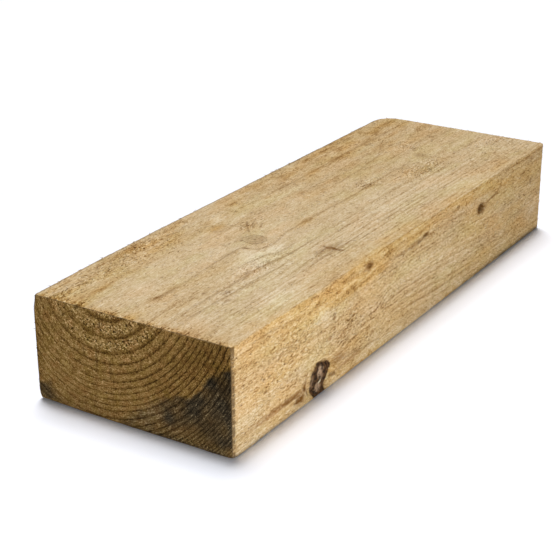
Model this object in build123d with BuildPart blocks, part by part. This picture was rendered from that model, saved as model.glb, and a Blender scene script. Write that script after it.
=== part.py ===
"""Softwood railway sleeper: one length of sawn timber with worn edges and corners.

Millimetres. +X runs along the grain from the near end to the far end, +Y across the width
and +Z up. The origin is the middle of the underside, on which the sleeper lies.
"""

import os

from build123d import *

# Sawn size
LENGTH = 610.0
WIDTH = 200.0
THICKNESS = 98.0

# Rounding of the edges round the top face and round the underside
TOP_ARRIS_RADIUS = 1.4
BOTTOM_ARRIS_RADIUS = 1.6

# How much rounder each upright end edge is worn than the rounder of those two arrises
NEAR_RIGHT_WEAR = 0.9
NEAR_LEFT_WEAR = 1.4
FAR_RIGHT_WEAR = 1.9
FAR_LEFT_WEAR = 21.5

# Each upright edge's place, as the signs of its X and Y, with the wear there
UPRIGHT_EDGES = (
    (-1, -1, NEAR_RIGHT_WEAR),
    (-1, 1, NEAR_LEFT_WEAR),
    (1, -1, FAR_RIGHT_WEAR),
    (1, 1, FAR_LEFT_WEAR),
)

arris_radius = max(TOP_ARRIS_RADIUS, BOTTOM_ARRIS_RADIUS)

with BuildPart() as sleeper:
    # The sawn length seen from above, with each upright edge worn by its own amount
    with BuildSketch() as plan:
        Rectangle(LENGTH, WIDTH)
        for x_side, y_side, wear in UPRIGHT_EDGES:
            corner = Vector(x_side * LENGTH / 2, y_side * WIDTH / 2)
            fillet(plan.vertices().sort_by_distance(corner)[0], radius=arris_radius + wear)
    extrude(amount=THICKNESS)

    # The arrises, each one running round all four corners
    fillet(sleeper.faces().sort_by(Axis.Z)[-1].edges(), radius=TOP_ARRIS_RADIUS)
    fillet(sleeper.faces().sort_by(Axis.Z)[0].edges(), radius=BOTTOM_ARRIS_RADIUS)

sleeper.part.label = "sleeper"

os.makedirs("parts", exist_ok=True)
export_step(sleeper.part, "parts/sleeper.step")
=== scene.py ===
"""Looks of a rough-sawn softwood railway sleeper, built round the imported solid.

The solid is remade as one dense closed mesh with the same edges and corners. Sawn relief, worn
arrises and knots are moved into that mesh, and the growth rings and patches that drive its colours
are stored on its points, so that the figure runs from one face to the next as in solid wood.
Wood is described in millimetres in the row frame; Blender's objects are in metres.
"""

import itertools
import math

import bpy
import numpy as np
from numpy.polynomial.polynomial import polyval
from mathutils import Matrix, Quaternion, Vector


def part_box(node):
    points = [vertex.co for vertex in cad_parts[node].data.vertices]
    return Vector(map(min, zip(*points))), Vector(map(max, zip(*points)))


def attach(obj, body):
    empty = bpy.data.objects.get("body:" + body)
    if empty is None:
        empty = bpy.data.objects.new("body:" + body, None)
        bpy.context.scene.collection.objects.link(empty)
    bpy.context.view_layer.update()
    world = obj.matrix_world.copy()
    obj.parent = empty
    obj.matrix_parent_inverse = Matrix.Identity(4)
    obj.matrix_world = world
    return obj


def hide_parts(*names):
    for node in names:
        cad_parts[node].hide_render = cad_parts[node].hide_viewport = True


MM = 0.001

# Random values kept for smooth noise, where its cells start, and the factors that pick a value
NOISE_VALUES = 4096
NOISE_START = 1000
NOISE_FACTORS = (73856093, 19349663, 83492791)

# Camera, as solved from the photograph's edges
IMAGE_PIXELS = 560
FOCAL_PIXELS = 1443.4
SENSOR_WIDTH = 36
CAMERA_PLACE = Vector((-1123.7, -659.6, 570.6))
CAMERA_AIM = Vector((-74.3, 1.7, 49))
CAMERA_ROLL = math.radians(-0.16)

# Edges of the solid: arris radii, and the radius of each upright edge by the signs of its X and Y
TOP_ARRIS = 1.4
BOTTOM_ARRIS = 1.6
UPRIGHT_RADII = ((-1, -1, 2.5), (-1, 1, 3), (1, -1, 3.5), (1, 1, 23.1))

# Spacing of the mesh along X, Y and Z, in the knotty stretch along X, and next to the edges, with how
# fast it grows away from them and how many places it is summed over
PITCH = (3.6, 1.4, 1.35)
KNOTTY_STRETCH = (-195, -70)
KNOTTY_PITCH = 1.7
FINEST_PITCH = 0.5
PITCH_GROWTH = 0.2
PITCH_SAMPLES = 6001

# Growth rings: the pith runs along X just above the top face
PITH = (17.5, 112)

# Shape of the rings: how far they are from round by powers of the angle from straight down, at the
# middle distance from the pith, and how that changes farther out
RING_SHAPE = (1, 0.178, -0.127, -0.048)
RING_SPREAD = (0, -0.006, 0.105, -0.03)
RING_MIDDLE = 50

# Widths of the rings below the pith, from the innermost outwards, and of the narrow rings outside them,
# and the stretch from the near end over which the rings begin to wander
RING_WIDTHS = (6, 15.5, 15, 13.5, 9.5, 8, 7.5, 6, 5, 5.5, 5, 5, 7.5, 7, 6, 5.5, 6, 5.5)
RING_RADII = np.cumsum(RING_WIDTHS)
OUTER_RING_WIDTH = 3.6
RING_DRIFT_STRETCH = 150

# Hidden knots that lift the rings over them: centre, size and lift
SWELLS = (
    ((40, 100, 50), (60, 40, 30), 6),
    ((200, -40, 0), (60, 30, 40), 6),
)

# Knots on the top that push the rings aside: centre, reach and push, and how far from a knot's middle
# line the push is full
RING_PUSHES = (
    ((-107, 6, 98), (30, 28, 60), 12),
    ((-99, 53, 98), (22, 16, 50), 6),
    ((-85, -60, 98), (14, 12, 40), 4),
    ((196, -7, 98), (20, 14, 50), 5),
)
KNOT_EDGE = 6

# Knots in the side that have rings of their own: centre, size and ring pitch, how softly these meet the
# stem's rings, and between which distances, in sizes, they give way to them
KNOT_RINGS = (
    ((-89, -100, 90), (6, 30, 5), 3),
    ((147, -100, 72), (10, 30, 7), 3),
    ((-171.5, -100, 15.5), (16, 30, 14), 4),
)
KNOT_BLEND = 0.6
KNOT_REACH = (1.5, 4)

# Steps by which the rings climb along the right side, between two places along X, and the long
# stretch over which they come down again, and where across the section they do so, as Y and Z
RING_STEPS = ((-148, -115, 7), (-77, -47, 8), (-24, 226, -12))
RING_STEP_CENTRE = (-100, 44)
RING_STEP_SIZE = (40, 34)

# Live knots on the top: centre, radius and strength
LIVE_KNOTS = (
    ((-104.5, 10, 98), 10.5, 1),
    ((-99, 53, 98), 9, 0.4),
    ((196, -7, 98), 9, 0.25),
)

# The loose dead knot at the foot of the right side: its hollow, the rounds that make up its outline,
# the paler wood left in it and its palest splinter, which carries a painted highlight
DEAD_KNOT = (-171.5, -100, 15.5)
DEAD_KNOT_SIZE = (20, 16, 15.5)
DEAD_KNOT_DEPTH = 2.6
DEAD_KNOT_ROUNDS = (
    ((-172.5, -100, 12.5), (17.5, 20, 19.5), 1),
    ((-168, -100, 17.5), (16.5, 20, 15.5), 1),
    ((-161, -100, 20), (12.5, 20, 8), 1),
)
DEAD_KNOT_CORE = (
    ((-169, -100, 20), (6, 10, 8.5), 1),
    ((-173.5, -100, 7.5), (6.5, 10, 6), 0.85),
    ((-183.5, -100, 16.5), (5, 10, 8), 0.28),
)
DEAD_KNOT_SPLINTER_HIGHLIGHT = ((-170.7, -100, 11.5), (2.2, 10, 3), 0.9)

# Pits: centre, size and depth
HOLLOWS = (
    ((147, -100, 72), (6, 6, 3.2), 2.4),
    ((-85, -60, 98), (2.5, 7, 6), 0.9),
    ((23, -100, 83), (7, 6, 2), 0.8),
    ((-89, -100, 90), (4, 6, 3), 0.8),
    ((-305, 53, 98), (3, 3, 3), 1.2),
)

# Marks on the top and the right side reach this deep into the wood
MARK_DEPTH = 6

# Brown marks: place and size on their face, and strength
BROWN_MARKS = {
    "top": (
        ((-85.5, -62), (4.5, 17), 0.8), ((-99, -56), (13, 4), 0.35), ((-75, -61), (10, 3.5), 0.35),
        ((-256, 5), (8, 4), 0.5), ((-241, 5), (12, 3.5), 0.3), ((-229, -22), (6, 2.5), 0.45),
        ((-218, -37), (9, 2.8), 0.6), ((-233, -47), (8, 2.5), 0.45), ((-173, -28), (9, 3), 0.4),
        ((-127, 5), (3, 6), 0.55), ((-113, 18), (4, 2), 0.5), ((-37, -5), (12, 5), 0.3),
        ((47, -8), (8, 3), 0.35), ((80, -2), (10, 3), 0.35), ((196, -7), (7, 9), 0.2),
        ((210, 39), (7, 3), 0.5), ((196, -5), (9, 12), 0.3), ((201, 60), (6, 7), 0.3),
        ((-268, 55), (6, 3), 0.3),
    ),
    "side": (
        ((-148, 66), (6, 2.2), 0.75), ((-149, 62.5), (5, 2.2), 0.75), ((-258, 39.5), (3.5, 2.5), 0.8),
        ((-260, 51), (3.5, 2), 0.6), ((-252, 51), (3.5, 2), 0.5), ((-28, 80.5), (16, 2.6), 0.4),
        ((2, 81), (26, 5), 0.42), ((178, 76), (10, 2.2), 0.45), ((193, 82), (4, 5), 0.5),
        ((253, 79), (9, 2.5), 0.4), ((273, 64), (5, 6), 0.6), ((92, 89), (5, 3), 0.8),
        ((-150, 10), (8, 2.6), 0.8), ((-141, 20.5), (18, 2.5), 0.4), ((-194.5, 17.5), (9, 9), 0.85),
        ((-190.5, 9.5), (4, 5), 0.8), ((-204.5, 9), (13, 5.5), 1), ((-219.5, 16), (24, 4.5), 0.6),
        ((-146, 21.5), (15, 9), 0.25), ((147, 71), (15, 9), 0.95), ((-86.5, 89.5), (7.5, 5.5), 0.9),
        ((23, 83), (9, 3.5), 0.85),
    ),
}

# Near-black marks, and one nick in the near top edge
DARK_MARKS = {
    "side": (
        ((147, 71.5), (10, 5.5), 0.65), ((22, 82), (7, 2.6), 0.5), ((10, 80.5), (8, 2), 0.35),
        ((-86, 89), (4, 3), 0.35),
    ),
}
NICK = ((-305, 53, 98), (4, 5, 5), 0.7)

# Rusty trails and pink halos beside the knots
RUSTY_MARKS = {
    "side": (
        ((-242.5, 15.5), (48, 5), 0.5), ((-89, 90), (14, 6), 0.5), ((-123, 12.5), (40, 3), 0.4),
        ((-138, 22.5), (20, 9), 0.35), ((-232.5, 15.5), (75, 4), 0.5), ((-155.5, 46), (6, 3), 0.45),
    ),
    "top": (
        ((-88, -58), (18, 12), 0.3),
    ),
}

# Patches, by the face they lie on and how deep they reach into the wood: place, size, and how much
# more gold and tone they show, and mottle, ring lines or wool where these change too
PATCHES = (
    ("top", 20, (
        ((-217, 80), (105, 18), 0.45, -0.09, {"mottle": 0.1, "wool": 0.45}),
        ((-305, 0), (6, 130), 0.6, -0.16, {"mottle": 0.25, "wool": 0.7}),
        ((-296, 66), (16, 30), 0.3, -0.1, {"wool": 0.4}),
        ((-152, 88), (60, 8), 0.1, -0.04, {"wool": 0.2}),
        ((128, 64), (190, 4), 0.12, -0.05, {"mottle": 0.08}),
        ((168, 88), (180, 14), 0.5, -0.11, {"mottle": 0.12}), ((158, 88), (45, 14), 0, -0.08),
        ((147, 88), (12, 6), 0, 0.1), ((260, 72), (24, 9), 0.2, -0.1), ((90, 92), (10, 9), 0, 0.14),
        ((106, 52), (12, 8), 0, -0.09), ((286, 42), (16, 8), 0, -0.09), ((134, 20), (30, 5), 0, -0.06),
        ((-270, -40), (26, 7), 0, -0.07), ((58, 84), (15, 16), 0.2, -0.1),
        ((-182, 87), (15, 7), 0.15, -0.17), ((-140, 76), (12, 6), 0.1, -0.1),
        ((-159, 67), (10, 6), -0.3, 0.14), ((98, 94), (22, 7), -0.4, 0), ((243, 88), (22, 8), -0.25, 0),
        ((-303, -14), (18, 16), 0.25, 0), ((-1, 11), (600, 50), 0.06, 0),
        ((-147, 68), (50, 9), 0.2, -0.04), ((-34, 72), (9, 12), 0.3, -0.06),
        ((-290, 54), (30, 9), 0.3, -0.17), ((-303, -72), (16, 19), 0.3, -0.2),
        ((-303, 6), (16, 16), 0.3, -0.08), ((-143, -19), (21, 10), 0, 0.24),
        ((-139, 16), (25, 8), -0.1, 0.15), ((-262, -7), (20, 5), 0, 0.08), ((-71, 6), (24, 9), 0, 0.07),
        ((-111, 31), (12, 7), 0, -0.07), ((-7, 48), (60, 7), 0, 0.06), ((44, 29), (34, 8), 0.1, -0.07),
        ((90, -58), (50, 18), 0, 0.12), ((155, -56), (30, 7), 0, 0.08), ((179, -14), (12, 8), 0, 0.09),
        ((101, -17), (15, 6), 0.2, -0.06), ((149, -14), (10, 9), 0.3, 0),
        ((224, 17), (80, 5), 0, -0.06), ((-122, -65), (26, 6), 0, -0.12),
        ((-2, 60), (500, 60), 0.08, -0.02, {"mottle": 0.05, "lines": -0.12}),
        ((168, 55), (190, 48), 0.2, -0.06), ((-150, -53), (150, 48), 0, 0.06),
        ((-196, 31), (85, 22), 0, 0.06, {"lines": -0.1}),
        ((-251, 4), (30, 9), 0.15, -0.08, {"mottle": 0.15}), ((-191, -2), (45, 7), 0.25, -0.06),
        ((-251, -21), (35, 9), 0.25, -0.05, {"mottle": 0.15}), ((-138, -4), (12, 7), -0.1, 0.28),
        ((-111, -19), (18, 5), -0.1, 0.16), ((-105, 8), (16, 15), 0, -0.05, {"lines": -0.25}),
        ((-146, -26), (32, 13), 0, 0, {"wool": 0.8}), ((-215, -38), (30, 10), 0, 0, {"wool": 0.3}),
        ((-73, 33), (17, 9), 0.5, -0.05, {"wool": 0.9}), ((-81, 67), (8, 10), 0, 0.24),
        ((-162, 76), (24, 13), 0.12, -0.03, {"wool": 0.2}), ((-224, 82), (12, 7), 0.2, -0.18),
        ((-224, 58), (20, 5), 0.2, -0.08), ((-247, 71), (16, 5), 0, 0.1), ((-159, 82), (8, 7), 0, 0.1),
        ((-17, 82), (8, 8), 0, 0.1), ((203, 50), (10, 9), 0, -0.09), ((284, 9), (22, 6), 0, -0.08),
        ((278, 66), (20, 5), 0, 0.1), ((-285, 77), (28, 5), 0.15, -0.06, {"wool": 0.3}),
        ((-252, 58), (50, 5), 0.2, -0.09), ((-97, 55), (11, 9), 0.7, -0.08),
        ((-38, 52), (14, 5), 0, -0.12), ((-37, -5), (24, 5), 0.3, -0.12),
        ((49, -7), (90, 5), 0.1, -0.08), ((10, -60), (330, 34), 0, 0, {"lines": 0.45}),
        ((-190, -84), (40, 14), 0, 0.26), ((15, -50), (50, 7), 0, 0.1),
        ((159, -27), (36, 13), 0.3, -0.04, {"wool": 0.9}), ((84, -3), (16, 9), 0.2, 0, {"wool": 0.8}),
        ((214, 19), (12, 16), 0, 0, {"wool": 0.7}), ((280, -50), (28, 14), 0, 0, {"wool": 0.6}),
        ((230, -76), (30, 16), 0.1, -0.06),
    )),
    ("side", 20, (
        ((-286, 42.5), (26, 34), 0, 0, {"lines": 0.25, "wool": -0.12}),
        ((-217.5, 64), (44, 26), 0.2, -0.04, {"wool": 0.45}),
        ((-242.5, 37.5), (38, 18), 0, 0, {"wool": 0.3}), ((-103, 77.5), (55, 3.5), 0.5, -0.08),
        ((-128, 46), (17, 14), 0, -0.1, {"lines": 0.3, "wool": 0.5}), ((-289, 42.5), (24, 24), 0, 0.05),
        ((-291, 82), (26, 14), 0, -0.07), ((-177.5, 97), (34, 6), 0, -0.12),
        ((-153, 94), (26, 6), 0, -0.24), ((-276, 6.5), (34, 6), 0, 0.12), ((-83, 48), (16, 7), 0, 0.14),
        ((-79, 76), (10, 9), 0, 0.1), ((-39, 86), (24, 12), 0.2, -0.06), ((36, 52), (90, 12), 0, 0.11),
        ((145, 93), (26, 9), 0.1, 0.14), ((31, 82), (16, 6), 0, -0.07),
        ((280, 26.5), (18, 12), -0.4, 0.14), ((-149, 16.5), (16, 11), 0.4, -0.09),
        ((-103, 22.5), (32, 9), 0.3, -0.12), ((-237.5, 44), (34, 6), 0.25, -0.04),
        ((-167.5, 70), (24, 6), -0.2, 0.13), ((-286, 27.5), (25, 9), 0, 0.08),
        ((-85, 44), (46, 18), 0, -0.04, {"lines": 0.45, "wool": 0.2}),
        ((65, 37.5), (130, 30), 0, 0, {"lines": 0.45}),
        ((-24, 2.5), (260, 9), 0.25, 0.05, {"mottle": 0.12}), ((-192.5, 10.5), (40, 12), 0.4, 0),
        ((145, 64), (40, 20), 0.3, 0), ((-123, 44), (14, 6), 0.2, -0.1),
        ((-44, 67), (10, 9), 0.2, -0.1), ((180, 22.5), (60, 8), 0.2, -0.05),
        ((275, 47), (90, 60), 0.15, -0.06),
    )),
    # The far part of the top: a little more gold, and a darker tone that is partly painted shade where
    # the light falls off towards the far end
    ("top", 30, (
        ((304, 21), (180, 110), 0.08, -0.06),
    )),
    ("side", 25, (
        ((-153, 87), (75, 11), 0.85, -0.05, {"mottle": 0.12}),
        ((-271, 93), (45, 8), 0.45, 0, {"mottle": 0.15}),
        ((-34, 92), (70, 8.5), 0.8, -0.05, {"mottle": 0.12}), ((85, 94), (60, 8), 0.4, -0.03),
        ((180, 88), (65, 13), 0.45, -0.03),
    )),
    ("left", 25, (
        ((40, 60), (160, 16), 0.5, 0, {"wool": 0.5}),
        ((-180, 30), (80, 30), 0, 0, {"lines": 0.4, "wool": 0.6}),
    )),
    ("under", 20, (
        ((-60, 20), (160, 40), 0.4, 0, {"lines": 0.4}),
    )),
)

# Ring lines, wool and mottle outside the patches, gold on the long sides, and how far the ring lines
# fade towards the left of the ends
BASE_LINES = 0.34
BASE_WOOL = 0.12
BASE_MOTTLE = 0.04
SIDE_GOLD = 0.52
END_RING_FADE = 0.45

# Thin dark lines, which run along X on the top and the right side and up and down on the near end:
# strength, and points as place along the line and place across it. Then their width, and the distance
# that stands for no line near
SEAMS = {
    "top": (
        (0.25, ((-262, 6), (-226, 5), (-186, 7))),
        (0.50, ((-196, 7), (-154, 9), (-130, 9.2), (-125.5, 2), (-123, -5),
                (-116, -8.6), (-108, -10.7), (-98, -9.8))),
        (0.40, ((-113, -10), (-106, -10.5), (-89, -8), (-73, -4.6), (-37, -4))),
        (0.45, ((-51, -4.3), (-37, -4), (39, -7), (124, -5), (186, -7))),
        (0.40, ((-166, -14), (-132, -19.3), (-124, -23), (-110, -26.2), (-86, -25))),
        (0.45, ((-280, -30), (-215, -31), (-160, -30), (-138, -33), (-121, -35.6),
                (-84, -35.6), (-40, -36.5))),
        (0.40, ((-302, -40), (-250, -40.5), (-190, -42), (-130, -45))),
        (0.40, ((-42, 65), (58, 64), (178, 66.5), (298, 64))),
        (0.75, ((-83, 32), (-70, 41))),
        (0.60, ((-89.5, 34.5), (-83.5, 39))),
        (0.65, ((-92, 24.5), (-79, 34))),
        (0.55, ((-82, 26), (-72, 33))),
        (0.50, ((-77, 22), (-62, 28))),
        (0.45, ((-110, -56), (-88, -57), (-60, -59))),
        (0.40, ((-130, -64), (-95, -64.5), (-40, -66))),
        (0.35, ((59, 23), (129, 27), (204, 38))),
    ),
    "side": (
        (0.30, ((-65, 83), (-34, 81), (-4, 80), (14, 81), (23, 84), (36, 82.5))),
        (0.35, ((-286, 91), (-252.5, 90), (-214.5, 86.5), (-192.5, 84))),
        (0.60, ((155, 73), (183, 76.5), (193, 83))),
        (0.35, ((200, 95), (235, 94), (285, 90))),
        (0.50, ((-266, 15.5), (-242.5, 17), (-207.5, 13.5), (-190.5, 14.5))),
        (0.40, ((-143, 19.5), (-113, 15.5), (-63, 11.5))),
        (0.40, ((-24, 23.5), (55, 17.5), (145, 14.5))),
    ),
    "end": (
        (0.25, ((7, 37.5), (36, 35), (53, 33.5))),
        (0.60, ((45, 34), (67, 33.5))),
        (0.35, ((51, 46), (63, 45.5))),
        (0.45, ((37, 20), (57, 20.5))),
        (0.45, ((53, 47), (64, 47))),
        (0.55, ((54, -11.5), (66, -12.5))),
        (0.90, ((82, 29.5), (89.5, 29.2))),
    ),
}
SEAM_WIDTH = 2
NO_SEAM = 9

# Near end, as Y and Z: the upper edge of the damp stain, darker and paler stretches, the stained
# corner, where the stain is thinner or deeper, the frayed stretch of the foot and its faint damp
STAIN_EDGE = ((-99, 80), (-90, 75.5), (-79, 65.5), (-70.5, 55.5), (-60, 45.5), (-48, 43.5),
              (-30, 35.5), (-20, 27.5), (6.5, 7.5), (20, -7))
END_SHADES = (
    ((-86, 86), (26, 30), -0.24), ((-40, 60), (30, 30), -0.10), ((-61, 72), (10, 16), -0.08),
    ((-21, 20), (11, 8), 0.16), ((0, 8), (9, 6), 0.09), ((-32, 44), (22, 9), -0.08),
    ((100, 40), (7, 40), -0.14), ((85, 77), (12, 8), -0.06), ((-75, 21), (10, 10), -0.09),
    ((-96, 50), (5, 14), -0.05),
)
STAIN_CORNER = (92, 9)
STAIN_CORNER_SIZE = (15, 11)
STAIN_SHADES = (
    ((-72, 3), (42, 7), -0.42), ((-22, 15), (14, 11), -0.30), ((-62, 13), (13, 8), -0.36),
    ((-80, 34), (8, 10), -0.20), ((-92, 24), (6, 7), -0.25), ((-97, 5), (5, 5), -0.35),
    ((-62, 36), (9, 9), 0.25), ((-38, 22), (6, 8), 0.25), ((-90, 67), (10, 7), -0.22),
    ((-74, 50), (6, 9), -0.20), ((-46, 36), (6, 5), -0.18), ((-50, 14), (8, 6), -0.12),
    ((-6, 5), (9, 5), -0.30),
)
FRAYED_FOOT = ((-68, 2), (42, 6))
DAMP_FOOT = ((60, 4), (70, 12))

# The torn early wood of the core: the angle from straight down where it is worst, and its spread
CORE_WOOL_TURN = 0.12
CORE_WOOL_SPREAD = 0.65

# Spacing of the saw marks on the long sides, and how far the sawn surface lies under the sawn size
SAW_MARK_PITCH = 4.6
RELIEF_SETBACK = 0.3

# Knocked corners of the near end, by the signs of X, Y and Z: size and depth of the wear
WORN_CORNERS = (
    ((-1, 1, -1), (5, 45, 5), 1.5),
    ((-1, 1, 1), (70, 9, 9), 2.2),
    ((-1, -1, -1), (5, 5, 5), 0.9),
)

# Colours from dark to pale: sawn faces, golden wood, end grain and stained end grain
FACE_TONES = (
    (0.150, 0.078, 0.027), (0.340, 0.215, 0.098), (0.550, 0.405, 0.230),
    (0.660, 0.520, 0.332), (0.790, 0.670, 0.490))
GOLD_TONES = (
    (0.150, 0.070, 0.018), (0.350, 0.190, 0.060), (0.580, 0.360, 0.130),
    (0.690, 0.480, 0.215), (0.800, 0.640, 0.380))
END_TONES = (
    (0.030, 0.015, 0.003), (0.120, 0.062, 0.014), (0.270, 0.155, 0.045),
    (0.460, 0.290, 0.106), (0.800, 0.585, 0.275))
STAIN_TONES = (
    (0.005, 0.004, 0.002), (0.014, 0.010, 0.006), (0.041, 0.031, 0.018),
    (0.114, 0.085, 0.049), (0.420, 0.330, 0.190))

# Tints of the end grain and of the faces, and colours of marks, edges and knots
END_RED = (1.04, 0.97, 0.97)
END_OLIVE = (0.98, 1, 0.88)
BLUSH = (1.03, 0.985, 0.95)
GREENISH = (0.98, 1, 0.93)
BROWN = (0.185, 0.082, 0.020)
NEAR_BLACK = (0.055, 0.025, 0.006)
RUST = (0.30, 0.135, 0.045)
# Dirt at the foot, darkened further as painted contact shade
FOOT_DIRT_AND_SHADE = (0.060, 0.048, 0.036)
ARRIS_BROWN = (0.15, 0.092, 0.040)
RIM_GREY = (0.15, 0.13, 0.11)
KNOT_TAN = (0.47, 0.305, 0.165)
KNOT_LINE = (0.21, 0.125, 0.055)
KNOT_BLACK = (0.030, 0.019, 0.012)
KNOT_BROWN = (0.13, 0.065, 0.028)
KNOT_GREY = (0.44, 0.30, 0.19)
# Pale splinter in the dead knot, with a painted highlight
KNOT_PALE_HIGHLIGHT = (0.75, 0.66, 0.45)

# Torn fibres: how many, their length, width and height, how far their roots lie in the wood and how
# far their tips may stand out past the sawn size
FIBRE_COUNT = 9000
FIBRE_LENGTH = (1.5, 6.5)
FIBRE_WIDTH = (0.35, 0.8)
FIBRE_HEIGHT = 0.25
FIBRE_ROOT = 0.3
FIBRE_OVERHANG = 1.2

# Studio lamps: the light's lean towards X and Y, its angle and its level
LAMPS = {
    "overhead": ((0.08, 0.08), math.radians(9), 0.34),
    "soft": ((0.22, 0.22), math.radians(25), 0.56),
}

# Light from all round: its level and colour
WORLD_LEVEL = 0.13
WORLD_WHITE = (1, 1, 1)

# Softbox at the near right: its place, where it points, its size and power
FILL_PLACE = Vector((-650, -950, 100))
FILL_AIM = Vector((-150, -100, 50))
FILL_SIZE = 400
FILL_POWER = 8.2

# Floor: half its width, its gap below the sleeper, its colour for the light that it throws back and the
# colour that is seen
FLOOR_HALF = 6000
FLOOR_GAP = 0.5
FLOOR_PALE = (0.80, 0.80, 0.80)
FLOOR_WHITE = (1, 1.02, 1.09)

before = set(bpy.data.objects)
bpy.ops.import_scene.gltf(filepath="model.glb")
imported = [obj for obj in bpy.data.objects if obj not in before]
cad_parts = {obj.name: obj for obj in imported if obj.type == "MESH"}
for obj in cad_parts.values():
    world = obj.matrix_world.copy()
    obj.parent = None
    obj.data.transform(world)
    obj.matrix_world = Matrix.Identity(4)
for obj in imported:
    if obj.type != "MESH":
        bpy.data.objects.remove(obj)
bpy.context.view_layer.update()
low, high = (np.array(corner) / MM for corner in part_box("sleeper"))

# Faces that carry marks: the axis that each one lies across, and its place on that axis
FACES = {"top": (2, high[2]), "side": (1, low[1]), "left": (1, high[1]), "under": (2, low[2])}


def smooth_noise(points, cell, seed):
    """Random values from -1 to 1 that change smoothly over cells of the given size."""
    table = np.random.default_rng(seed).uniform(-1, 1, NOISE_VALUES)
    place = points / np.asarray(cell, float) + NOISE_START
    corner = np.floor(place).astype(np.int64)
    part = place - corner
    part = part * part * (3 - 2 * part)
    total = np.zeros(len(points))
    for offset in itertools.product((0, 1), repeat=3):
        lattice = (corner + offset) * NOISE_FACTORS
        value = table[(lattice[:, 0] ^ lattice[:, 1] ^ lattice[:, 2]) % NOISE_VALUES]
        total += value * np.prod(np.where(offset, part, 1 - part), axis=1)
    return total


def rise(value, start, end):
    """A smooth step from 0 at start to 1 at end."""
    part = np.clip((value - start) / (end - start), 0, 1)
    return part * part * (3 - 2 * part)


def blotch(points, centre, size):
    """A soft spot, 1 at its centre, that fades over the given size along each axis."""
    return np.exp(-(((points - np.array(centre)) / np.array(size)) ** 2).sum(axis=1))


def on_face(face, place, size, depth):
    """Centre and size along X, Y and Z of a mark on a face."""
    axis, level = FACES[face]
    return np.insert(np.array(place, float), axis, level), np.insert(np.array(size, float), axis, depth)


def face_marks(marks):
    """Marks kept by face, as centres, sizes and strengths."""
    return [(*on_face(face, place, size, MARK_DEPTH), strength)
            for face, rows in marks.items() for place, size, strength in rows]


# The closed mesh

def grid_lines(start, end, pitch):
    """Places along one axis, an even number of cells, closer together next to both ends."""
    places = np.linspace(start, end, PITCH_SAMPLES)
    from_end = np.minimum(places - start, end - places)
    step = np.minimum(pitch, FINEST_PITCH + PITCH_GROWTH * from_end)
    if pitch > KNOTTY_PITCH:
        knotty = (places > KNOTTY_STRETCH[0]) & (places < KNOTTY_STRETCH[1])
        step = np.where(knotty, KNOTTY_PITCH, step)
    passed = np.concatenate(([0], np.cumsum(np.diff(places) / step[1:])))
    cells = 2 * round(passed[-1] / 2)
    return np.interp(np.linspace(0, passed[-1], cells + 1), passed, places)


def quads(grid, flip=False):
    """Four-sided faces over a grid of point numbers."""
    faces = np.stack((grid[:-1, :-1], grid[1:, :-1], grid[1:, 1:], grid[:-1, 1:]), axis=-1)
    faces = faces.reshape(-1, 4)
    return (faces[:, ::-1] if flip else faces).tolist()


def underside_faces(grid):
    """Faces twice as wide, which keep the rim's own points so that the mesh stays closed."""
    faces = []
    for i in range(0, grid.shape[0] - 1, 2):
        for j in range(0, grid.shape[1] - 1, 2):
            block = grid[i:i + 3, j:j + 3]
            loop = (*block[0], *block[1:, 2], *block[2, 1::-1], block[1, 0])
            faces.append([int(number) for number in loop if number >= 0])
    return faces


def box_surface():
    """Points and faces of a sharp box of the solid's size, divided along all three axes."""
    lines = [grid_lines(low[axis], high[axis], PITCH[axis]) for axis in range(3)]
    used = np.ones([len(line) for line in lines], bool)
    used[1:-1, 1:-1, 1:-1] = False
    used[1:-1, 1:-1, 0] = False
    used[2:-2:2, 2:-2:2, 0] = True
    number = np.full(used.shape, -1)
    number[used] = np.arange(used.sum())
    points = np.column_stack([lines[axis][place] for axis, place in enumerate(np.nonzero(used))])
    faces = quads(number[:, :, -1]) + underside_faces(number[:, :, 0])
    faces += quads(number[:, 0, :]) + quads(number[:, -1, :], flip=True)
    faces += quads(number[-1]) + quads(number[0], flip=True)
    return points, faces


def square_to_round(across, along, radius):
    """Moves a point of a square corner, measured from the corner's centre, on to a round one."""
    share = 2 * radius ** 2
    return across * np.sqrt(1 - along ** 2 / share), along * np.sqrt(1 - across ** 2 / share)


def round_uprights(points):
    """Rounds the four upright edges, and returns each point's radius there."""
    points = points.copy()
    half = (high - low)[:2] / 2
    radii = np.zeros(len(points))
    for x_side, y_side, radius in UPRIGHT_RADII:
        inward = points[:, :2] * (x_side, y_side)
        here = (inward[:, 0] >= 0) & (inward[:, 1] >= 0)
        radii[here] = radius
        across, along = np.maximum(inward - half + radius, 0).T
        new_across, new_along = square_to_round(across, along, radius)
        points[:, 0] += np.where(here, x_side * (new_across - across), 0)
        points[:, 1] += np.where(here, y_side * (new_along - along), 0)
    return points, radii


def outline_distance(points, radii):
    """How far each point lies from the plan's outline, and the outline's normal there."""
    half = (high - low)[:2] / 2
    reach = np.abs(points[:, :2]) - half + radii[:, None]
    corner = np.maximum(reach, 0)
    length = np.linalg.norm(corner, axis=1)
    distance = np.minimum(reach.max(axis=1), 0) + length - radii
    flat = np.where(reach[:, :1] > reach[:, 1:], (1, 0), (0, 1))
    in_corner = length > 1e-9
    normal = np.where(in_corner[:, None], corner / np.maximum(length, 1e-9)[:, None], flat)
    return distance, normal * np.where(points[:, :2] < 0, -1, 1)


def arris_radius(points):
    """Radius of the worn top and bottom edges, which changes from place to place."""
    middle = (low[2] + high[2]) / 2
    radius = np.where(points[:, 2] > middle, TOP_ARRIS, BOTTOM_ARRIS)
    wear = 1 + 0.22 * smooth_noise(points, 46, 1) + 0.22 * smooth_noise(points, 11, 2)
    return radius * wear


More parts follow.
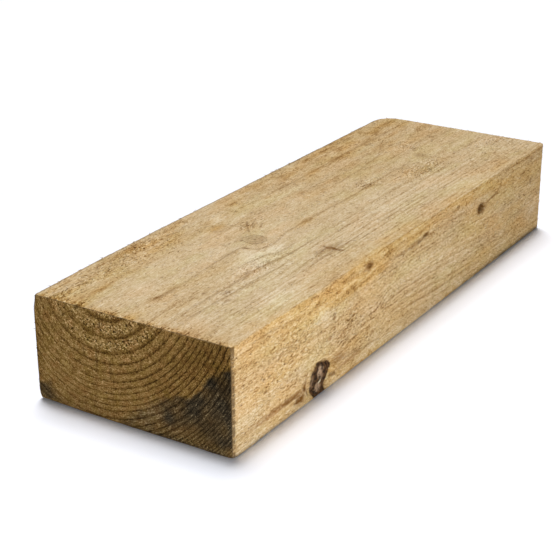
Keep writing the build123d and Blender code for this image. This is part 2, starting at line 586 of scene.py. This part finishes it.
def round_arrises(points, radii):
    """Rounds the edges round the top and the underside, and returns the surface normals."""
    distance, outward = outline_distance(points, radii)
    radius = arris_radius(points)
    middle = (low[2] + high[2]) / 2
    side = np.where(points[:, 2] > middle, 1, -1)
    across = np.clip(radius + distance, 0, radius)
    along = np.clip(np.abs(points[:, 2] - middle) - (high[2] - middle) + radius, 0, radius)
    new_across, new_along = square_to_round(across, along, radius)
    points = points.copy()
    points[:, :2] += outward * (new_across - across)[:, None]
    points[:, 2] += side * (new_along - along)
    normals = np.column_stack((outward * (new_across / radius)[:, None], side * new_along / radius))
    return points, normals / np.linalg.norm(normals, axis=1)[:, None]


# The wood

def beside_knots(points):
    """Places moved towards the knots on the top, so that the rings read there pass round the knots."""
    moved = points.copy()
    for centre, reach, push in RING_PUSHES:
        across = points[:, 1] - centre[1]
        moved[:, 1] -= push * np.tanh(across / KNOT_EDGE) * blotch(points, centre, reach)
    return moved


def ring_index(points):
    """Which growth ring a point lies in: the dark edge of a ring is at each whole number."""
    read = beside_knots(points)
    side = PITH[0] - read[:, 1]
    down = PITH[1] - read[:, 2]
    distance = np.hypot(side, down)
    turn = np.arctan2(side, down)
    farther = (distance - RING_MIDDLE) / RING_MIDDLE
    radius = distance * (polyval(turn, RING_SHAPE) + farther * polyval(turn, RING_SPREAD))
    drift = rise(points[:, 0], low[0], low[0] + RING_DRIFT_STRETCH)
    radius += 1.3 * drift * smooth_noise(points, (240, 60, 60), 11)
    radius += 0.8 * drift * smooth_noise(points, (110, 17, 17), 12)
    for centre, size, lift in SWELLS:
        radius += lift * blotch(points, centre, size)
    stepped = blotch(points[:, 1:], RING_STEP_CENTRE, RING_STEP_SIZE)
    for start, end, climb in RING_STEPS:
        radius += climb * stepped * rise(points[:, 0], start, end)
    ring = np.interp(radius, RING_RADII, np.arange(len(RING_RADII)))
    ring += np.maximum(radius - RING_RADII[-1], 0) / OUTER_RING_WIDTH
    for centre, size, pitch in KNOT_RINGS:
        ring = bend_round_knot(points, ring, np.array(centre), np.array(size), pitch)
    return ring


def bend_round_knot(points, ring, centre, size, pitch):
    """Gives a knot its own rings, and leads the stem's rings round it."""
    distance = np.linalg.norm((points - centre) / size, axis=1)
    middle = ring[np.argmin(distance)]
    own = middle + (distance - 1) * size.max() / pitch
    blend = 0.5 * (ring + own - np.sqrt((ring - own) ** 2 + KNOT_BLEND ** 2))
    return ring + (blend - ring) * (1 - rise(distance, *KNOT_REACH))


def stain_depth(points):
    """Black damp stain: the lower right of the near end, and a touch in its lower left corner."""
    across, up = points[:, 1], points[:, 2]
    edge_across, edge_up = zip(*STAIN_EDGE)
    below = 0.75 * (np.interp(across, edge_across, edge_up) - up)
    below += 2.2 * smooth_noise(points, 13, 21) + 1.8 * smooth_noise(points, 5, 22)
    strength = 0.80 + 0.20 * rise(-across, 40, 80) + 0.15 * smooth_noise(points, 9, 24)
    for centre, size, change in STAIN_SHADES:
        strength += change * blotch(points[:, 1:], centre, size)
    soft = 2 + 3 * rise(across, -70, -10)
    depth = rise(below / soft, -1, 1) * np.clip(strength, 0, 1)
    corner = blotch(points[:, 1:], STAIN_CORNER, STAIN_CORNER_SIZE)
    corner = rise(corner + 0.30 * smooth_noise(points, 5, 23), 0.1, 0.95)
    depth = np.maximum(depth, np.maximum(0.80 * corner, 0.10 * blotch(points[:, 1:], *DAMP_FOOT)))
    return depth * rise(-points[:, 0], -low[0] - 22, -low[0] - 1)


def patch_levels(points, normals, end):
    """How much gold, tone, ring lines, wool and mottle each point shows."""
    levels = {
        "gold": SIDE_GOLD * rise(np.abs(normals[:, 1]), 0.4, 0.9),
        "tone": np.zeros(len(points)),
        "lines": np.full(len(points), BASE_LINES),
        "wool": np.full(len(points), BASE_WOOL),
        "mottle": np.full(len(points), BASE_MOTTLE),
    }
    uneven = 1 + 0.6 * smooth_noise(points, (22, 7, 7), 42)
    for face, depth, patches in PATCHES:
        for place, size, gold, tone, *others in patches:
            spot = blotch(points, *on_face(face, place, size, depth)) * (1 - end) * uneven
            for name, level in {"gold": gold, "tone": tone, **dict(*others)}.items():
                levels[name] += level * spot
    spots = smooth_noise(points, (13, 5, 5), 43) + 0.5 * smooth_noise(points, (6, 3, 3), 44)
    levels["tone"] += levels["mottle"] * spots
    levels["gold"] -= 0.3 * levels["mottle"] * spots
    levels["gold"] *= 0.9 + 0.4 * smooth_noise(points, (40, 9, 9), 41)
    levels["lines"] += end * (1 - BASE_LINES - END_RING_FADE * rise(points[:, 1], 0, 70))
    for centre, size, level in END_SHADES:
        levels["tone"] += level * end * blotch(points[:, 1:], centre, size)
    return levels


def core_wool(points, ring, end):
    """The soft early wood round the pith, which the saw tore out of the ends, and the frayed foot."""
    part = ring % 1
    early = rise(part, 0.02, 0.2) * (1 - rise(part, 0.66, 0.85))
    turn = np.arctan2(PITH[0] - points[:, 1], PITH[1] - points[:, 2])
    below = 0.40 + 0.60 * np.exp(-((turn - CORE_WOOL_TURN) / CORE_WOOL_SPREAD) ** 2)
    core = early * below * (0.25 + 0.75 * rise(-ring, -3.02, -2.98)) * rise(-ring, -4, -3.9)
    foot = 0.6 * blotch(points[:, 1:], *FRAYED_FOOT)
    return end * np.maximum(core, foot)


def seam_lines(points, normals):
    """Signed distance to the nearest thin dark line, and that line's strength."""
    faces = {"top": (0, 1, normals[:, 2]), "side": (0, 2, -normals[:, 1]), "end": (2, 1, -normals[:, 0])}
    nearest = np.full(len(points), NO_SEAM)
    strength = np.zeros(len(points))
    for face, lines in SEAMS.items():
        along, across, facing = faces[face]
        for level, line in lines:
            places, levels = zip(*line)
            along_line = points[:, along]
            ahead, here = (np.interp(along_line + step, places, levels) for step in (1, 0))
            distance = (points[:, across] - here) / np.hypot(1, ahead - here)
            inside = np.minimum(along_line - places[0], places[-1] - along_line)
            fade = rise(inside, 0, 0.15 * (places[-1] - places[0]))
            close = 1 - rise(np.abs(distance), 1.8, 3.2)
            reach = level * fade * close * (facing > 0.7)
            nearest = np.where(reach > strength, distance, nearest)
            strength = np.maximum(strength, reach)
    return nearest, strength


def relief(points, normals, ring, end, wool):
    """Height of the sawn surface over the plain form: waves, raised grain, saw marks, knots."""
    part = ring % 1
    late = rise(part, 0.5, 0.82) * (1 - rise(part, 0.93, 1))
    side = rise(np.abs(normals[:, 1]), 0.5, 0.9)
    height = 0.25 * smooth_noise(points, (170, 55, 55), 31)
    height += 0.14 * smooth_noise(points, (14, 4.5, 4.5), 32)
    height += (0.06 + 0.12 * wool) * np.random.default_rng(33).normal(size=len(points))
    height += late * (0.16 - 0.06 * end)
    sawn = points[:, 0] + 0.35 * points[:, 2] + 1.5 * smooth_noise(points, 60, 34)
    height += 0.09 * side * np.sin(sawn * 2 * math.pi / SAW_MARK_PITCH)
    height -= DEAD_KNOT_DEPTH * dead_knot_hollow(points)
    for centre, size, depth in HOLLOWS:
        height -= depth * blotch(points, centre, size)
    height -= RELIEF_SETBACK
    arris = np.abs(normals).max(axis=1)
    height *= 0.35 + 0.65 * rise(arris, 0.75, 0.98)
    underside = rise(-normals[:, 2], 0.3, 0.8)
    return np.where(underside > 0, np.minimum(height, 0) * (1 - underside), height)


def corner_wear(points):
    """How far each point is worn back at the knocked corners of the near end."""
    moved = np.zeros(points.shape)
    middle = (low + high) / 2
    for sides, size, depth in WORN_CORNERS:
        corner = np.where(np.array(sides) > 0, high, low)
        inward = np.sign(middle - corner) / math.sqrt(3)
        moved += inward * depth * blotch(points, corner, size)[:, None]
    return moved


def dead_knot_hollow(points):
    """How deep the loose dead knot lies: a gap round its rim and a broken face."""
    spread = (points - np.array(DEAD_KNOT)) / np.array(DEAD_KNOT_SIZE)
    distance = np.linalg.norm(spread, axis=1) + 0.16 * smooth_noise(points, 9, 35)
    rim = np.exp(-((distance - 0.86) / 0.17) ** 2)
    face = rise(-distance, -0.9, -0.7) * (0.45 + 0.45 * smooth_noise(points, 4.5, 36))
    return np.maximum(rim, face) * rise(points[:, 2], 0.5, 4)


def edge_wear(points, normals, end):
    """How brown each point is worn at the edges, most at the near end, and how grey at the left rim."""
    x, y, z = points.T
    arris = 1 - rise(np.abs(normals).max(axis=1), 0.8, 0.97)
    rim = np.maximum(arris, 0.8) * rise(y, high[1] - 3.6, high[1] - 1.6) * rise(z, 80, 95)
    near = rise(-x, -low[0] - 5, -low[0] - 2.5)
    arris = np.maximum(arris * (0.3 + 0.7 * near), near * (1 - end) * np.abs(normals[:, 1]))
    return arris, np.maximum(rim, 0.7 * arris * near * rise(y, high[1] - 4, high[1] - 1))


def foot_dirt_and_contact_shade(points, end):
    """Dirt and painted contact shade at the foot: most near both ends of the long sides and on the right
    of the ends.
    """
    x, y, z = points.T
    # Painted contact shade with some dirt: a dark band along the foot, taller towards the far end
    foot = rise(-z, -3.5 - 3 * rise(x, 50, 250), -0.5)
    dust_and_shade = 0.15 + 0.85 * rise(x, 0, 200) + 0.65 * rise(-x, 180, 260)
    return foot * np.maximum(end * 0.6 * rise(-y, 0, 30), dust_and_shade * (1 - end))


def dress(mesh, growth, marks, lines, seams_and_foot_shade):
    """Keeps on a mesh all that its material reads."""
    for name, values in (("growth", growth), ("marks", marks), ("lines", lines), ("seams_and_foot_shade", seams_and_foot_shade)):
        attribute = mesh.attributes.new(name, "FLOAT_VECTOR", "POINT")
        attribute.data.foreach_set("vector", values.astype(np.float32).ravel())


def add_object(name, data):
    """A new object in the scene."""
    thing = bpy.data.objects.new(name, data)
    bpy.context.scene.collection.objects.link(thing)
    return thing


def add_mesh(name, points, faces, material):
    """A new mesh in the scene, from points in millimetres."""
    mesh = bpy.data.meshes.new(name)
    mesh.from_pydata((points * MM).tolist(), [], faces)
    mesh.materials.append(material)
    return add_object(name, mesh)


def make_piece(name, points, faces, material):
    """One piece of the sleeper, fixed to its body."""
    piece = add_mesh(name, points, faces, material)
    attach(piece, "root")
    return piece


def make_timber(material):
    """The sleeper itself, in place of the plain solid, and then its torn fibres."""
    points, faces = box_surface()
    points, radii = round_uprights(points)
    points, normals = round_arrises(points, radii)
    end = rise(np.abs(normals[:, 0]), 0.62, 0.9)
    ring = ring_index(points)
    levels = patch_levels(points, normals, end)
    wool = np.maximum(levels["wool"] * (1 - end), core_wool(points, ring, end)).clip(0, 1)
    raised = points + normals * relief(points, normals, ring, end, wool)[:, None] + corner_wear(points)
    timber = make_piece("timber", raised, faces, material)
    timber.data.shade_smooth()
    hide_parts("sleeper")
    growth = np.column_stack((ring, end, wool))
    marks = np.column_stack((levels["gold"], stain_depth(points), levels["tone"]))
    lines = np.column_stack((levels["lines"], *edge_wear(points, normals, end)))
    # The third value is the foot's dirt and painted contact shade
    seams_and_foot_shade = np.column_stack((*seam_lines(points, normals), foot_dirt_and_contact_shade(points, end)))
    dress(timber.data, growth, marks, lines, seams_and_foot_shade)
    make_fibres(material, timber.data, normals, growth, marks, lines)


def fibre_roots(mesh, normals, wool, random):
    """Places, and the points next to them, where fibres stand: most in woolly wood, none below."""
    area = np.empty(len(mesh.polygons))
    centre = np.empty(3 * len(mesh.polygons))
    mesh.polygons.foreach_get("area", area)
    mesh.polygons.foreach_get("center", centre)
    first = np.array([face.vertices[0] for face in mesh.polygons])
    chance = area * (0.10 + wool[first]) * (normals[first, 2] > -0.2)
    chosen = random.choice(len(first), FIBRE_COUNT, p=chance / chance.sum())
    return centre.reshape(-1, 3)[chosen] / MM, first[chosen]


def make_fibres(material, mesh, normals, growth, marks, lines):
    """Torn fibres that stand out of the sawn faces: closed slivers with their roots in the wood."""
    random = np.random.default_rng(61)
    place, nearest = fibre_roots(mesh, normals, growth[:, 2], random)
    normal = normals[nearest]
    upright = np.where(np.abs(normal[:, 2:]) > 0.7, (0, 1, 0), (0, 0, 1))
    along = np.cross(normal, upright)
    along /= np.linalg.norm(along, axis=1)[:, None]
    end = growth[nearest, 1]
    turn = random.normal(0, 0.4 + 0.8 * end) + math.pi * random.integers(0, 2, FIBRE_COUNT)
    heading = along * np.cos(turn)[:, None] + np.cross(normal, along) * np.sin(turn)[:, None]
    lift = random.uniform(0.08, 0.35 + 0.5 * end)[:, None]
    length = random.uniform(*FIBRE_LENGTH, FIBRE_COUNT)[:, None] * (1 - 0.6 * end[:, None])
    width = random.uniform(*FIBRE_WIDTH, FIBRE_COUNT)[:, None]
    root = place - normal * FIBRE_ROOT
    side = np.cross(normal, heading) * width / 2
    crest = place + normal * FIBRE_HEIGHT
    tip = root + length * (heading * np.cos(lift) + normal * np.sin(lift)) + normal * FIBRE_ROOT
    tip = np.clip(tip, low - (FIBRE_OVERHANG, FIBRE_OVERHANG, 0), high + FIBRE_OVERHANG)
    points = np.stack((root + side, root - side, crest, tip), axis=1).reshape(-1, 3)
    corner = 4 * np.arange(FIBRE_COUNT)[:, None]
    faces = np.concatenate([corner + order for order in ((0, 1, 2), (0, 3, 1), (1, 3, 2), (2, 3, 0))])
    fibres = make_piece("torn_fibres", points, faces.tolist(), material)
    growth, marks, lines = (np.repeat(values[nearest], 4, axis=0) for values in (growth, marks, lines))
    growth[:, 2] = 0
    lines[:, 0] = 0
    marks[:, 2] += np.repeat(random.uniform(-0.10, 0.28, FIBRE_COUNT), 4)
    dress(fibres.data, growth, marks, lines, np.tile((NO_SEAM, 0, 0), (len(points), 1)))


# Materials

class Shader:
    """Makes and links the nodes of a material or world."""

    def __init__(self, owner):
        self.owner = owner
        owner.use_nodes = True
        self.tree = owner.node_tree
        self.tree.nodes.clear()

    def node(self, kind, inputs=(), **settings):
        """Adds a node, with its settings and with values or links for its inputs."""
        node = self.tree.nodes.new(kind)
        for name, value in settings.items():
            setattr(node, name, value)
        for name, value in dict(inputs).items():
            self.fill(node.inputs[name], value)
        return node

    def fill(self, socket, value):
        """Links an input, or gives it a value, where a colour is opaque."""
        if isinstance(value, bpy.types.NodeSocket):
            self.tree.links.new(value, socket)
        else:
            socket.default_value = (*value, 1) if socket.type == "RGBA" else value

    def math(self, operation, *values):
        """One step of arithmetic on values or links."""
        return self.node("ShaderNodeMath", enumerate(values), operation=operation).outputs[0]

    def times(self, product, *others):
        """The product of two or more values."""
        for value in others:
            product = self.math("MULTIPLY", product, value)
        return product

    def vector(self, operation, *values):
        """One step of arithmetic on vectors."""
        return self.node("ShaderNodeVectorMath", enumerate(values), operation=operation).outputs[0]

    def rise(self, value, start, end, top=1):
        """A smooth step from 0 at start to top at end."""
        inputs = {"Value": value, "From Min": start, "From Max": end, "To Min": 0, "To Max": top}
        kind = {"interpolation_type": "SMOOTHSTEP"}
        return self.node("ShaderNodeMapRange", inputs, **kind).outputs["Result"]

    def noise(self, place, cell=(), detail=2, roughness=0.5, output="Fac"):
        """Noise from 0 to 1, in cells of a size along each axis in millimetres or else of unit size."""
        if cell:
            place = self.vector("MULTIPLY", place, [1 / (size * MM) for size in cell])
        inputs = {"Vector": place, "Scale": 1, "Detail": detail, "Roughness": roughness}
        return self.node("ShaderNodeTexNoise", inputs).outputs[output]

    def parts(self, vector):
        """The X, Y and Z of a vector."""
        return self.node("ShaderNodeSeparateXYZ", {0: vector}).outputs

    def flat(self, x, y):
        """A vector from its X and Y."""
        return self.node("ShaderNodeCombineXYZ", {"X": x, "Y": y}).outputs[0]

    def mix(self, factor, first, second, blend="MIX"):
        """Mixes two colours."""
        inputs = {0: factor, 6: first, 7: second}
        return self.node("ShaderNodeMix", inputs, data_type="RGBA", blend_type=blend).outputs[2]

    def ramp(self, value, stops, interpolation="B_SPLINE"):
        """A colour that follows given stops."""
        node = self.node("ShaderNodeValToRGB", {"Fac": value})
        node.color_ramp.interpolation = interpolation
        while len(node.color_ramp.elements) < len(stops):
            node.color_ramp.elements.new(1)
        for element, (place, colour) in zip(node.color_ramp.elements, stops):
            element.position = place
            element.color = (*colour, 1)
        return node.outputs["Color"]

    def curve(self, value, stops):
        """A value that follows given stops."""
        return self.ramp(value, [(place, (level, level, level)) for place, level in stops])

    def tones(self, value, colours):
        """A colour from dark at 0 to pale at 1."""
        last = len(colours) - 1
        return self.ramp(value, [(n / last, colour) for n, colour in enumerate(colours)], "LINEAR")

    def level(self, start, noises, others=()):
        """A level at start, which noises swing both ways and which others only add to."""
        total = start - 0.5 * sum(weight for _, weight in noises)
        for value, weight in (*noises, *others):
            total = self.math("MULTIPLY_ADD", value, weight, total)
        return total

    def attribute(self, name):
        """The three values kept for each point under a name."""
        return self.parts(self.node("ShaderNodeAttribute", attribute_name=name).outputs["Vector"])

    def jagged(self, place, cell, reach):
        """A place moved at random by up to half the reach, so that marks get uneven edges."""
        offset = self.noise(place, [cell] * 3, output="Color")
        shifted = self.vector("MULTIPLY_ADD", offset, [reach * MM] * 3, place)
        return self.vector("SUBTRACT", shifted, [reach * MM / 2] * 3)

    def reach(self, place, centre, size):
        """How far a place lies from a centre, in sizes along each axis."""
        scale = [1 / (length * MM) for length in size]
        shift = [-middle / length for middle, length in zip(centre, size)]
        spread = self.vector("MULTIPLY_ADD", place, scale, shift)
        return self.node("ShaderNodeVectorMath", {0: spread}, operation="LENGTH").outputs["Value"]

    def spots(self, place, marks, core=0.3):
        """The strongest of several soft marks, each full inside its core and gone at its size."""
        total = None
        for centre, size, level in marks:
            mark = self.rise(self.reach(place, centre, size), 1, core, level)
            total = mark if total is None else self.math("MAXIMUM", total, mark)
        return total

    def finish(self, shader, output="ShaderNodeOutputMaterial"):
        """Sends the last shader to the surface."""
        self.node(output, {"Surface": shader})
        return self.owner


def timber_material():
    """Pale sawn softwood: rings, fibres, end grain, stain and marks."""
    shader = Shader(bpy.data.materials.new("timber"))
    place = shader.node("ShaderNodeTexCoord").outputs["Object"]
    ring, end, wool = shader.attribute("growth")
    gold, stain, tone = shader.attribute("marks")
    lines, arris, rim = shader.attribute("lines")
    # foot: the dirt and painted contact shade along the foot
    seam, seam_strength, foot = shader.attribute("seams_and_foot_shade")

    fine = shader.noise(place, (7, 1.5, 1.5), 2, 0.6)
    grit = shader.noise(place, (2.8, 0.95, 0.95), 1, 0.6)
    cloud = shader.noise(place, (70, 18, 18), 3)
    speck = shader.noise(place, (3, 1.9, 1.9), 2, 0.6)
    fleck = shader.noise(place, (4.5, 1.7, 1.7), 1, 0.5)
    # Torn wood: pale tufts, partly painted highlight, and dark gaps of painted shade
    torn = torn_tufts_and_shade(shader, fleck, speck, wool)

    face_tone = face_level(shader, place, ring, lines, tone, fine, grit, cloud, torn)
    face = shader.mix(gold, shader.tones(face_tone, FACE_TONES), shader.tones(face_tone, GOLD_TONES))
    face = tinted(shader, place, face, (60, 22, 22), BLUSH, GREENISH)
    # The same painted highlight and shade of torn wood, along the ring arcs of the ends
    torn_end_and_shade = torn_tufts_and_shade(shader, along_arcs(shader, place, ring, 14, 9.5), speck, wool)
    end_tone = end_level(shader, place, ring, lines, tone, stain, cloud, torn_end_and_shade)
    cut = tinted(shader, place, shader.tones(end_tone, END_TONES), (20, 9, 9), END_RED, END_OLIVE)
    cut = shader.mix(stain, cut, shader.tones(end_tone, STAIN_TONES))
    colour = shader.mix(end, face, cut)
    colour = worn_edges_and_foot_shade(shader, colour, fine, arris, rim, foot)
    colour = live_knot_colour(shader, place, colour)
    jagged = shader.jagged(place, 4, 4)
    colour = brown_mark_colour(shader, place, jagged, colour, speck)
    seam = seam_level(shader, place, seam, seam_strength, fine, speck)
    colour = shader.mix(seam, colour, shader.mix(end, BROWN, NEAR_BLACK))
    colour = shader.mix(shader.spots(jagged, [*face_marks(DARK_MARKS), NICK]), colour, NEAR_BLACK)
    colour = dead_knot_colour(shader, place, colour)

    height = shader.math("ADD", shader.math("ADD", fine, grit), torn)
    bump = shader.node("ShaderNodeBump", {"Height": height, "Strength": 0.6, "Distance": 0.0005})
    surface = shader.node("ShaderNodeBsdfPrincipled", {
        "Base Color": colour, "Roughness": 0.9, "Specular IOR Level": 0.02,
        "Normal": bump.outputs[0]})
    return shader.finish(surface.outputs[0])


def torn_tufts_and_shade(shader, fleck, speck, wool):
    """Pale tufts, partly painted highlight, and dark gaps of painted shade where the saw tore the wood.
    """
    # Pale tufts with painted highlight, less the dark gaps of painted shade
    tufts_and_highlight = shader.rise(fleck, 0.53, 0.66, 0.45)
    return shader.times(shader.math("SUBTRACT", tufts_and_highlight, shader.rise(speck, 0.44, 0.34, 0.70)), wool)


def tinted(shader, place, colour, cell, red, green):
    """A colour that is a little redder here and greener there."""
    tint = shader.noise(place, cell, 2)
    colour = shader.mix(shader.rise(tint, 0.5, 0.7), colour, red, "MULTIPLY")
    return shader.mix(shader.rise(tint, 0.5, 0.3), colour, green, "MULTIPLY")


def face_level(shader, place, ring, lines, tone, fine, grit, cloud, torn):
    """Tone of the sawn long faces, where the rings show as lines along the grain."""
    wobble = shader.noise(place, (80, 9, 9), 3, 0.55)
    bent = shader.level(0, ((wobble, 0.45), (grit, 0.15)), ((ring, 1),))
    late = shader.curve(shader.math("FRACT", bent),
                        ((0, 0.3), (0.1, 0), (0.60, 0.05), (0.86, 1), (1, 0.4)))
    broken = shader.rise(shader.noise(place, (90, 6, 6), 2), 0.25, 0.65)
    late = shader.times(late, broken, lines)
    along = shader.times(shader.parts(place)["X"], 1 / (60 * MM))
    streak = shader.noise(shader.flat(along, shader.times(bent, 4.5)), roughness=0.6)
    streak = shader.times(shader.math("SUBTRACT", streak, 0.5), lines)
    fibre = shader.noise(place, (50, 1.6, 1.6), 3, 0.6)
    middle = shader.noise(place, (11, 4.5, 4.5), 2, 0.5)
    normal = shader.node("ShaderNodeNewGeometry").outputs["True Normal"]
    side = shader.math("ABSOLUTE", shader.parts(normal)["Y"])
    rough = shader.times(side, shader.level(0, ((fine, 0.25), (grit, 0.55))))
    noises = ((fine, 0.65), (grit, 0.85), (fibre, 0.45), (middle, 0.22), (cloud, 0.25))
    others = ((tone, 1), (late, -0.50), (streak, 0.82), (torn, 1), (rough, 1))
    return shader.level(0.645, noises, others)


def along_arcs(shader, place, ring, turns, layers):
    """Noise in short dashes that follow the growth rings across the ends."""
    offset = shader.parts(shader.vector("SUBTRACT", place, (0, PITH[0] * MM, PITH[1] * MM)))
    turn = shader.times(shader.math("ARCTAN2", offset["Z"], offset["Y"]), turns)
    return shader.noise(shader.flat(turn, shader.times(ring, layers)), roughness=0.6)


def end_level(shader, place, ring, lines, tone, stain, cloud, torn):
    """Tone of the sawn ends, where the rings show as arcs."""
    wobble = shader.noise(place, (30, 7, 7), 3, 0.6)
    grit = shader.noise(place, (2, 0.95, 0.95), 1, 0.6)
    bent = shader.level(0, ((wobble, 0.22), (grit, 0.14)), ((ring, 1),))
    part = shader.math("FRACT", bent)
    late = shader.curve(part, (
        (0, 0.4), (0.05, 0), (0.68, 0), (0.80, 0.30), (0.90, 1), (0.97, 1), (1, 0.6)))
    early = shader.curve(part, ((0, 0.1), (0.2, 0.4), (0.45, 1), (0.62, 0.3), (0.75, 0), (1, 0)))
    broken = shader.rise(shader.noise(place, (30, 12, 12), 2), 0.25, 0.65)
    kept = shader.math("MULTIPLY_ADD", broken, 0.45, 0.55)
    late = shader.times(late, kept, lines, shader.math("MULTIPLY_ADD", stain, -0.15, 1))
    dash = along_arcs(shader, place, bent, 11, 3.2)
    fuzz = shader.noise(place, (5, 1.2, 1.2), 2, 0.6)
    thread = along_arcs(shader, place, bent, 20, 9)
    noises = ((fuzz, 0.60), (grit, 0.95), (dash, 0.65), (thread, 1.05), (cloud, 0.12))
    return shader.level(0.54, noises, ((late, -0.39), (early, 0.06), (torn, 2), (tone, 1)))


def worn_edges_and_foot_shade(shader, colour, fine, arris, rim, foot):
    """Brown worn edges, a grey left rim, and a foot darkened by dirt and painted contact shade."""
    colour = shader.mix(shader.times(arris, shader.rise(fine, 0.28, 0.56, 0.95)), colour, ARRIS_BROWN)
    colour = shader.mix(shader.times(rim, 0.55), colour, RIM_GREY)
    # Painted contact shade and some dirt darken the foot
    return shader.mix(shader.times(foot, shader.rise(fine, 0.3, 0.5, 0.85)), colour, FOOT_DIRT_AND_SHADE)


def brown_mark_colour(shader, place, jagged, colour, speck):
    """Rusty trails and brown marks, both speckled."""
    ragged = shader.rise(shader.noise(place, (8, 2.2, 2.2), 2, 0.6), 0.40, 0.56)
    speckled = shader.rise(speck, 0.36, 0.54)
    rusty = shader.level(0.65, (), ((speckled, 0.6),))
    rusty = shader.times(shader.spots(jagged, face_marks(RUSTY_MARKS), 0.1), rusty)
    colour = shader.mix(rusty, colour, RUST)
    brown = shader.level(0.45, (), ((ragged, 0.4), (speckled, 0.35)))
    brown = shader.times(shader.spots(jagged, face_marks(BROWN_MARKS)), brown)
    return shader.mix(brown, colour, BROWN)


def seam_level(shader, place, seam, strength, fine, speck):
    """How dark the thin lines are, which waver and break up."""
    drift = shader.noise(place, (16, 7, 7), 2)
    seam = shader.math("ADD", seam, shader.level(0, ((fine, 0.9), (drift, 2.5))))
    close = shader.rise(shader.math("ABSOLUTE", seam), SEAM_WIDTH, 0)
    return shader.times(close, strength, shader.rise(speck, 0.30, 0.50))


def live_knot_colour(shader, place, colour):
    """Sound knots cut across on the top: a darker round with broken rings and a dark heart."""
    jagged = shader.jagged(place, 8, 6)
    broken = shader.rise(shader.noise(place, (9, 9, 9), 2), 0.35, 0.60)
    for centre, radius, strength in LIVE_KNOTS:
        distance = shader.reach(jagged, centre, (radius, radius, 2 * radius))
        body = shader.rise(distance, 1.25, 0.5, 0.32 * strength)
        colour = shader.mix(body, colour, KNOT_TAN)
        half = shader.times(distance, 0.5)
        rings = shader.curve(half, (
            (0, 1), (0.08, 0.7), (0.13, 0.1), (0.20, 0.1), (0.245, 0.7), (0.29, 0.1), (0.36, 0.3),
            (0.40, 0.05), (0.45, 0.2), (0.50, 1), (0.55, 0.1), (0.60, 0)))
        rings = shader.times(rings, shader.math("MULTIPLY_ADD", broken, 0.65, 0.35), strength)
        colour = shader.mix(rings, colour, KNOT_LINE)
    return colour


def dead_knot_colour(shader, place, colour):
    """The loose black knot at the foot of the right side, in a ragged brown rim, with a painted
    highlight on its pale splinter.
    """
    jagged = shader.jagged(place, 5, 6.5)
    rim = shader.spots(shader.jagged(jagged, 2, 4), DEAD_KNOT_ROUNDS, 0.6)
    body = shader.spots(jagged, [(centre, [0.85 * side for side in size], level)
                                 for centre, size, level in DEAD_KNOT_ROUNDS], 0.85)
    broken = shader.noise(place, (3.5, 3.5, 3), 3, 0.7)
    inside = shader.mix(shader.rise(broken, 0.42, 0.62), KNOT_BLACK, KNOT_BROWN)
    core = shader.spots(shader.jagged(place, 4, 4), DEAD_KNOT_CORE, 0.4)
    core = shader.times(core, shader.rise(broken, 0.36, 0.52))
    inside = shader.mix(core, inside, KNOT_GREY)
    # Painted highlight on the knot's pale splinter
    inside = shader.mix(shader.spots(place, (DEAD_KNOT_SPLINTER_HIGHLIGHT,), 0.3), inside, KNOT_PALE_HIGHLIGHT)
    colour = shader.mix(shader.times(rim, 0.75), colour, BROWN)
    return shader.mix(body, colour, inside)


# The stage

def seen(shader):
    """1 for rays that look at the background straight, in a mirror or through glass, else 0."""
    rays = shader.node("ShaderNodeLightPath").outputs
    indirect = shader.math("MAXIMUM", rays["Is Glossy Ray"], rays["Is Transmission Ray"])
    return shader.math("MAXIMUM", rays["Is Camera Ray"], indirect)


def floor_material():
    """A pale floor that looks white where the object doesn't shade it."""
    shader = Shader(bpy.data.materials.new("floor"))
    pale = shader.node("ShaderNodeBsdfDiffuse", {"Color": FLOOR_PALE})
    white = shader.node("ShaderNodeBsdfDiffuse", {"Color": FLOOR_WHITE})
    mixed = shader.node("ShaderNodeMixShader", {
        0: seen(shader), 1: pale.outputs[0], 2: white.outputs[0]})
    return shader.finish(mixed.outputs[0])


def make_floor():
    """A wide floor just under the sleeper."""
    corners = FLOOR_HALF * np.array([(-1, -1, 0), (1, -1, 0), (1, 1, 0), (-1, 1, 0)])
    floor = add_mesh("floor", corners, [(0, 1, 2, 3)], floor_material())
    floor.location.z = (low[2] - FLOOR_GAP) * MM


def aim(lamp, heading):
    """Turns a lamp so that it shines along a heading."""
    lamp.rotation_euler = Vector(heading).to_track_quat("-Z", "Y").to_euler()


def make_lamps():
    """Soft lights from far above, a little behind and left of the sleeper."""
    for name, (lean, angle, level) in LAMPS.items():
        light = bpy.data.lights.new(name, "SUN")
        light.energy = level * math.pi
        light.angle = angle
        aim(add_object(name, light), (-lean[0], -lean[1], -1))


def make_fill():
    """A softbox at the near right."""
    light = bpy.data.lights.new("fill", "AREA")
    light.size = FILL_SIZE * MM
    light.energy = FILL_POWER
    lamp = add_object("fill", light)
    lamp.location = FILL_PLACE * MM
    aim(lamp, FILL_AIM - FILL_PLACE)


def make_world():
    """Even white light from all round, and a white background."""
    shader = Shader(bpy.data.worlds.new("studio"))
    strength = shader.node("ShaderNodeMapRange", {
        "Value": seen(shader), "To Min": WORLD_LEVEL, "To Max": 1}).outputs["Result"]
    background = shader.node("ShaderNodeBackground", {"Color": WORLD_WHITE, "Strength": strength})
    bpy.context.scene.world = shader.finish(background.outputs[0], "ShaderNodeOutputWorld")


def make_camera():
    """The photograph's viewpoint."""
    camera = add_object("camera", bpy.data.cameras.new("camera"))
    camera.data.sensor_width = SENSOR_WIDTH
    camera.data.lens = SENSOR_WIDTH * FOCAL_PIXELS / IMAGE_PIXELS
    level = (CAMERA_AIM - CAMERA_PLACE).to_track_quat("-Z", "Y")
    rotation = level @ Quaternion((0, 0, 1), CAMERA_ROLL)
    camera.matrix_world = Matrix.LocRotScale(CAMERA_PLACE * MM, rotation, None)
    bpy.context.scene.camera = camera


make_camera()
make_timber(timber_material())
make_floor()
make_world()
make_lamps()
make_fill()
bpy.context.scene.view_settings.view_transform = "Standard"
